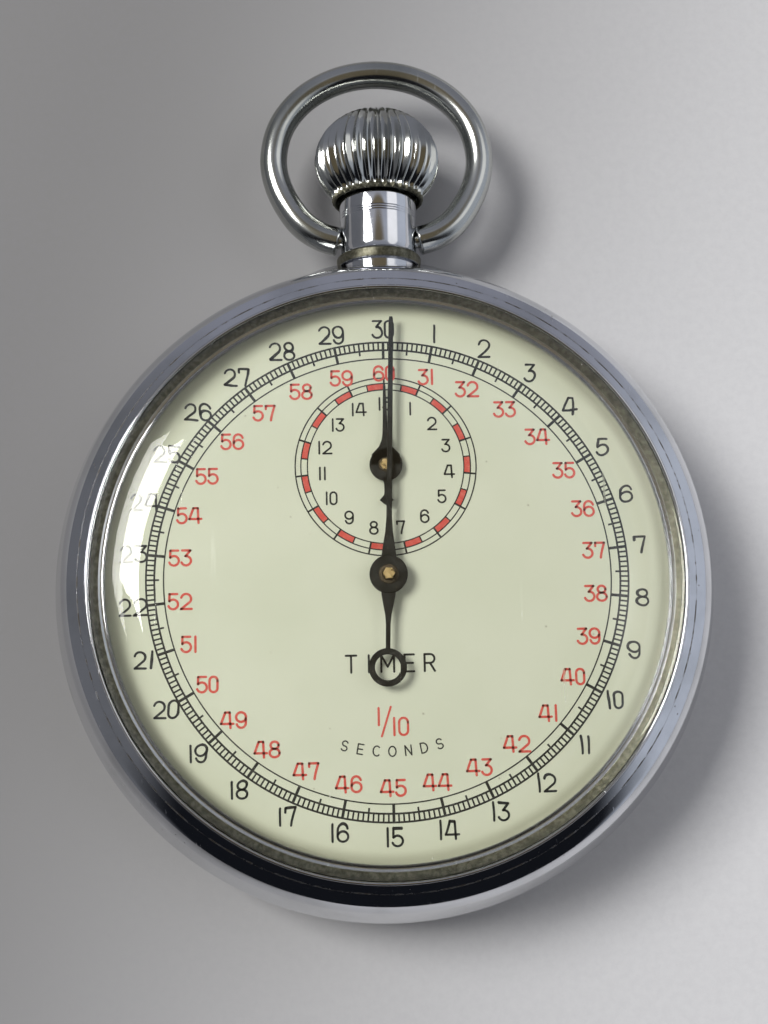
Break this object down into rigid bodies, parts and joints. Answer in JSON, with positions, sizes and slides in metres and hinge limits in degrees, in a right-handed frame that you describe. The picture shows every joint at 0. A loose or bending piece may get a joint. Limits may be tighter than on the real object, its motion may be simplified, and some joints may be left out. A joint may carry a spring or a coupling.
{
  "type": "mechanical stopwatch",
  "caption": "Pocket mechanical stopwatch with crown pusher, bow, domed crystal, centre seconds hand and small minute recorder.",
  "frame": {"origin": "centre of the flat case back", "axes": "+Z is the dial normal, +Y runs from the dial centre to the crown, the watch lies on its back"},
  "size_m": [0.052, 0.0701, 0.015],
  "materials": {
    "chrome_case": "polished, lightly scratched",
    "crystal": "polished domed acrylic",
    "dial": "aged cream enamel with printed scales",
    "hand_black": "black, slightly worn",
    "brass": "satin",
    "nickel_plate": "fine brushed nickel",
    "steel": "polished steel",
    "blued_steel": "heat blued steel"
  },
  "bodies": {
    "case": {"case_back": "chrome_case", "case_band": "chrome_case", "bezel": "chrome_case", "crystal": "crystal", "pendant": "chrome_case", "dial": "dial", "main_plate": "nickel_plate", "movement_ring": "brass", "train_bridge": "nickel_plate", "balance_cock": "nickel_plate", "pallet_cock": "nickel_plate", "crown_wheel_stud": "steel", "click_spring": "blued_steel", "mainspring": "blued_steel", "hairspring": "blued_steel", "regulator_arm": "blued_steel", "minute_jumper": "blued_steel", "column_jumper": "blued_steel", "operating_lever_spring": "blued_steel", "bridge_screw_1": "blued_steel", "bridge_screw_2": "blued_steel", "bridge_screw_3": "blued_steel", "bridge_screw_4": "blued_steel", "balance_cock_screw": "blued_steel", "pallet_cock_screw": "blued_steel", "column_wheel_screw": "blued_steel", "operating_lever_screw": "blued_steel", "brake_lever_screw": "blued_steel", "hammer_screw": "blued_steel", "click_screw": "blued_steel", "movement_screw_1": "blued_steel", "movement_screw_2": "blued_steel"},
    "pusher": {"pusher_sleeve": "steel"},
    "crown_and_stem": {"crown": "chrome_case", "winding_stem": "steel"},
    "winding_pinion": {"winding_pinion": "steel"},
    "crown_wheel": {"crown_wheel": "steel"},
    "ratchet": {"ratchet_wheel": "steel", "barrel_arbor": "steel"},
    "click": {"click": "steel"},
    "bow": {"bow": "chrome_case"},
    "seconds_work": {"fourth_wheel": "brass", "seconds_heart_cam": "steel", "seconds_hand": "hand_black"},
    "minute_work": {"minute_wheel": "brass", "minute_heart_cam": "steel", "minute_hand": "hand_black"},
    "intermediate_wheel": {"intermediate_wheel": "brass"},
    "third_wheel": {"third_wheel": "brass"},
    "second_wheel": {"second_wheel": "brass"},
    "barrel": {"mainspring_barrel": "brass", "barrel_cover": "brass"},
    "escape_wheel": {"escape_wheel": "steel"},
    "pallet_fork": {"pallet_fork": "steel"},
    "balance": {"balance_wheel": "brass"},
    "column_wheel": {"column_wheel": "steel"},
    "operating_lever": {"operating_lever": "steel"},
    "reset_hammer": {"reset_hammer": "steel"},
    "brake_lever": {"brake_lever": "steel"}
  },
  "joints": [
    {"name": "crown_press", "type": "slide", "parent": "case", "child": "pusher", "axis": [0, -1, 0], "range_m": [0, 0.0016], "stiffness_N_per_m": 2000, "springref_m": -0.0005},
    {"name": "crown_wind", "type": "hinge", "parent": "pusher", "child": "crown_and_stem", "pos_m": [0, 0.0355, 0.006], "axis": [0, 1, 0], "continuous": true},
    {"name": "pinion_turn", "type": "hinge", "parent": "case", "child": "winding_pinion", "pos_m": [0, 0.018, 0.006], "axis": [0, 1, 0], "continuous": true},
    {"name": "crown_wheel_turn", "type": "hinge", "parent": "case", "child": "crown_wheel", "pos_m": [0, 0.0129, 0.0018], "axis": [0, 0, 1], "continuous": true},
    {"name": "ratchet_turn", "type": "hinge", "parent": "case", "child": "ratchet", "pos_m": [-0.00905, 0.00498, 0.0018], "axis": [0, 0, 1], "continuous": true},
    {"name": "bow_swing", "type": "hinge", "parent": "case", "child": "bow", "pos_m": [0, 0.0284, 0.006], "axis": [1, 0, 0], "range_deg": [-100, 100]},
    {"name": "seconds_spin", "type": "hinge", "parent": "case", "child": "seconds_work", "pos_m": [0, 0, 0.0052], "axis": [0, 0, -1], "continuous": true},
    {"name": "minute_spin", "type": "hinge", "parent": "case", "child": "minute_work", "pos_m": [0, 0.0084, 0.0098], "axis": [0, 0, -1], "continuous": true},
    {"name": "intermediate_spin", "type": "hinge", "parent": "case", "child": "intermediate_wheel", "pos_m": [0, 0.00345, 0.0098], "axis": [0, 0, -1], "continuous": true},
    {"name": "third_spin", "type": "hinge", "parent": "case", "child": "third_wheel", "pos_m": [-0.0033, -0.00435, 0.0044], "axis": [0, 0, -1], "continuous": true},
    {"name": "second_spin", "type": "hinge", "parent": "case", "child": "second_wheel", "pos_m": [-0.00835, -0.00227, 0.0071], "axis": [0, 0, -1], "continuous": true},
    {"name": "barrel_spin", "type": "hinge", "parent": "case", "child": "barrel", "pos_m": [-0.00905, 0.00498, 0.006], "axis": [0, 0, -1], "continuous": true},
    {"name": "escape_spin", "type": "hinge", "parent": "case", "child": "escape_wheel", "pos_m": [0.0037, -0.00277, 0.0064], "axis": [0, 0, -1], "continuous": true},
    {"name": "pallet_swing", "type": "hinge", "parent": "case", "child": "pallet_fork", "pos_m": [0.00306, -0.00605, 0.0064], "axis": [0, 0, 1], "range_deg": [-6, 6]},
    {"name": "balance_swing", "type": "hinge", "parent": "case", "child": "balance", "pos_m": [0.00226, -0.01058, 0.0049], "axis": [0, 0, 1], "range_deg": [-150, 150], "stiffness_Nm_per_rad": 0.000005},
    {"name": "column_wheel_turn", "type": "hinge", "parent": "case", "child": "column_wheel", "pos_m": [0.0115, 0.0072, 0.0072], "axis": [0, 0, 1], "continuous": true},
    {"name": "operating_lever_swing", "type": "hinge", "parent": "case", "child": "operating_lever", "pos_m": [0.0122, 0.0142, 0.0058], "axis": [0, 0, 1], "range_deg": [0, 9.2]},
    {"name": "hammer_swing", "type": "hinge", "parent": "case", "child": "reset_hammer", "pos_m": [0.0086, 0.0052, 0.01015], "axis": [0, 0, 1], "range_deg": [-3, 3]},
    {"name": "brake_swing", "type": "hinge", "parent": "case", "child": "brake_lever", "pos_m": [0.0126, -0.0016, 0.0049], "axis": [0, 0, -1], "range_deg": [0, 6]},
    {"name": "click_lift", "type": "hinge", "parent": "case", "child": "click", "pos_m": [-0.01659, -0.00011, 0.002], "axis": [0, 0, -1], "range_deg": [0, 8], "stiffness_Nm_per_rad": 0.0002}
  ],
  "couplings": [
    {"joint": "pinion_turn", "follows": "crown_wind", "ratio": 1},
    {"joint": "crown_wheel_turn", "follows": "crown_wind", "ratio": 0.41667},
    {"joint": "ratchet_turn", "follows": "crown_wind", "ratio": -0.35714},
    {"joint": "third_spin", "follows": "seconds_spin", "ratio": -0.16667},
    {"joint": "second_spin", "follows": "seconds_spin", "ratio": 0.027778},
    {"joint": "barrel_spin", "follows": "seconds_spin", "ratio": -0.0046296},
    {"joint": "escape_spin", "follows": "seconds_spin", "ratio": -10},
    {"joint": "intermediate_spin", "follows": "seconds_spin", "ratio": -0.066667},
    {"joint": "minute_spin", "follows": "seconds_spin", "ratio": 0.033333},
    {"joint": "operating_lever_swing", "follows": "crown_press", "rad_per_m": 100}
  ]
}
